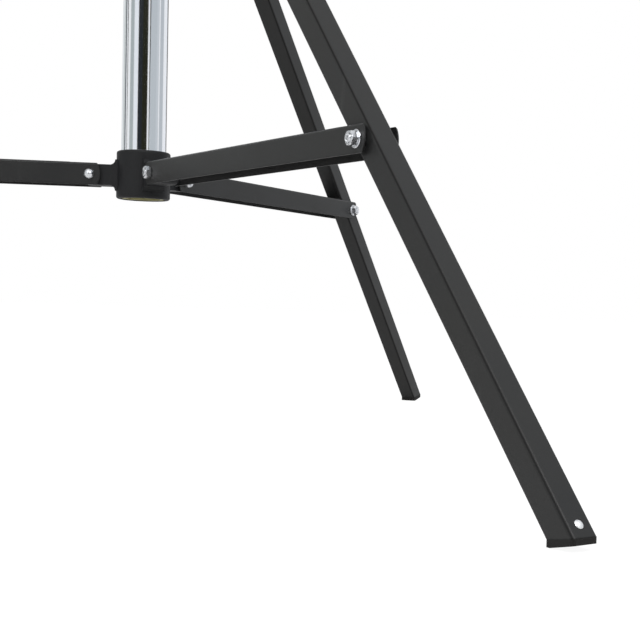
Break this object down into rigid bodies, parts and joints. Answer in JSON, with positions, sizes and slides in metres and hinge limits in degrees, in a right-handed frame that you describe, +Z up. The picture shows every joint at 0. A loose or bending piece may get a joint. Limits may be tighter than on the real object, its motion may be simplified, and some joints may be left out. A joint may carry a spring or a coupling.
{
  "type": "wind-up lighting stand",
  "caption": "Folding tripod stand with a chromed column, a geared cable winch that lifts two nested masts, and a spigot socket for a light on top.",
  "frame": {"origin": "on the floor, at the middle of the footprint's box; the column axis stands 203 mm toward -Y from it", "axes": "+Z up along the column; +Y along leg_1 away from the column; the winch and crank are on the -Y side"},
  "size_m": [1.4532, 1.2595, 2.156],
  "materials": {
    "black_steel": "satin black powder coat",
    "black_cast": "satin black paint on cast metal",
    "chrome": "polished chrome plate",
    "zinc": "bright zinc plate",
    "wire_rope": "stranded steel",
    "black_plastic": "moulded, fine grain",
    "nylon": "machined nylon",
    "brass": "yellow passivated ring",
    "fibre": "pressed fibre"
  },
  "bodies": {
    "column": {"outer_column": "chrome", "column_end_ring": "brass", "lower_hub": "black_cast", "hub_bolts": "zinc", "hub_nuts": "zinc", "winch_frame": "black_steel", "winch_saddle": "black_cast", "winch_bolts": "zinc", "drum_axle": "zinc", "brake_pad": "fibre", "column_head": "black_cast", "column_guide": "nylon", "pulley_pin": "zinc", "hoist_rope": "wire_rope", "rope_drop": "wire_rope"},
    "upper_hub": {"upper_hub": "black_cast", "hub_liner": "nylon", "upper_hub_bolts": "zinc"},
    "hub_knob": {"hub_clamp_knob": "black_plastic"},
    "drum": {"winch_drum": "black_cast", "drum_gear": "zinc", "drum_rope": "wire_rope"},
    "crank": {"crank_shaft": "zinc", "crank_pinion": "zinc", "brake_disc": "zinc", "crank_arm": "chrome", "crank_nut": "zinc", "grip_pin": "zinc"},
    "grip": {"crank_grip": "black_plastic"},
    "pulley": {"pulley": "zinc"},
    "middle": {"middle_mast": "chrome", "middle_slider": "nylon", "middle_collar": "black_cast"},
    "middle_knob": {"middle_clamp_knob": "black_plastic"},
    "top": {"top_mast": "chrome", "top_slider": "nylon", "top_socket": "black_cast"},
    "top_knob": {"socket_knob": "black_plastic"},
    "brace_1": {"brace_1": "black_steel", "leg_bolt_1": "zinc"},
    "leg_1": {"leg_1": "black_steel", "foot_cap_1": "black_plastic", "foot_rivet_1": "zinc"},
    "brace_2": {"brace_2": "black_steel", "leg_bolt_2": "zinc"},
    "leg_2": {"leg_2": "black_steel", "foot_cap_2": "black_plastic", "foot_rivet_2": "zinc"},
    "brace_3": {"brace_3": "black_steel", "leg_bolt_3": "zinc"},
    "leg_3": {"leg_3": "black_steel", "foot_cap_3": "black_plastic", "foot_rivet_3": "zinc"}
  },
  "joints": [
    {"name": "hub_slide", "type": "slide", "parent": "column", "child": "upper_hub", "axis": [0, 0, 1], "range_m": [0, 0.64061]},
    {"name": "brace_1_swing", "type": "hinge", "parent": "column", "child": "brace_1", "pos_m": [0, -0.13861, 0.3315], "axis": [1, 0, 0], "range_deg": [0, 87.51]},
    {"name": "leg_1_swing", "type": "hinge", "parent": "brace_1", "child": "leg_1", "pos_m": [0, 0.32719, 0.3315], "axis": [1, 0, 0], "range_deg": [-127.16, 0]},
    {"name": "brace_2_swing", "type": "hinge", "parent": "column", "child": "brace_2", "pos_m": [-0.05543, -0.23461, 0.3315], "axis": [-0.5, 0.866, 0], "range_deg": [0, 87.51]},
    {"name": "leg_2_swing", "type": "hinge", "parent": "brace_2", "child": "leg_2", "pos_m": [-0.45882, -0.46751, 0.3315], "axis": [-0.5, 0.866, 0], "range_deg": [-127.16, 0]},
    {"name": "brace_3_swing", "type": "hinge", "parent": "column", "child": "brace_3", "pos_m": [0.05543, -0.23461, 0.3315], "axis": [-0.5, -0.866, 0], "range_deg": [0, 87.51]},
    {"name": "leg_3_swing", "type": "hinge", "parent": "brace_3", "child": "leg_3", "pos_m": [0.45882, -0.46751, 0.3315], "axis": [-0.5, -0.866, 0], "range_deg": [-127.16, 0]},
    {"name": "hub_knob_turn", "type": "hinge", "parent": "upper_hub", "child": "hub_knob", "pos_m": [0, -0.25261, 0.89471], "axis": [0, -1, 0], "range_deg": [0, 720]},
    {"name": "mast_lift", "type": "slide", "parent": "column", "child": "middle", "axis": [0, 0, 1], "range_m": [0, 1.1], "deforming": ["rope_drop"]},
    {"name": "drum_spin", "type": "hinge", "parent": "column", "child": "drum", "pos_m": [0, -0.27756, 1.805], "axis": [-1, 0, 0], "range_deg": [0, 3233]},
    {"name": "crank_spin", "type": "hinge", "parent": "column", "child": "crank", "pos_m": [0, -0.3115, 1.83894], "axis": [1, 0, 0], "range_deg": [0, 9697]},
    {"name": "pulley_spin", "type": "hinge", "parent": "column", "child": "pulley", "pos_m": [0, -0.24196, 1.947], "axis": [1, 0, 0], "range_deg": [0, 3916]},
    {"name": "grip_spin", "type": "hinge", "parent": "crank", "child": "grip", "pos_m": [0.1, -0.3115, 1.70894], "axis": [1, 0, 0], "continuous": true},
    {"name": "middle_knob_turn", "type": "hinge", "parent": "middle", "child": "middle_knob", "pos_m": [0, -0.15261, 2.037], "axis": [0, 1, 0], "range_deg": [0, 720]},
    {"name": "top_slide", "type": "slide", "parent": "middle", "child": "top", "axis": [0, 0, 1], "range_m": [0, 1]},
    {"name": "socket_knob_turn", "type": "hinge", "parent": "top", "child": "top_knob", "pos_m": [0, -0.24261, 2.1299], "axis": [0, -1, 0], "range_deg": [0, 720]}
  ],
  "couplings": [
    {"joint": "brace_1_swing", "follows": "hub_slide", "rad_per_m": 2.3839},
    {"joint": "leg_1_swing", "follows": "hub_slide", "rad_per_m": -3.4642},
    {"joint": "brace_2_swing", "follows": "hub_slide", "rad_per_m": 2.3839},
    {"joint": "leg_2_swing", "follows": "hub_slide", "rad_per_m": -3.4642},
    {"joint": "brace_3_swing", "follows": "hub_slide", "rad_per_m": 2.3839},
    {"joint": "leg_3_swing", "follows": "hub_slide", "rad_per_m": -3.4642},
    {"joint": "drum_spin", "follows": "mast_lift", "rad_per_m": 51.282},
    {"joint": "crank_spin", "follows": "mast_lift", "rad_per_m": 153.85},
    {"joint": "pulley_spin", "follows": "mast_lift", "rad_per_m": 62.112}
  ]
}
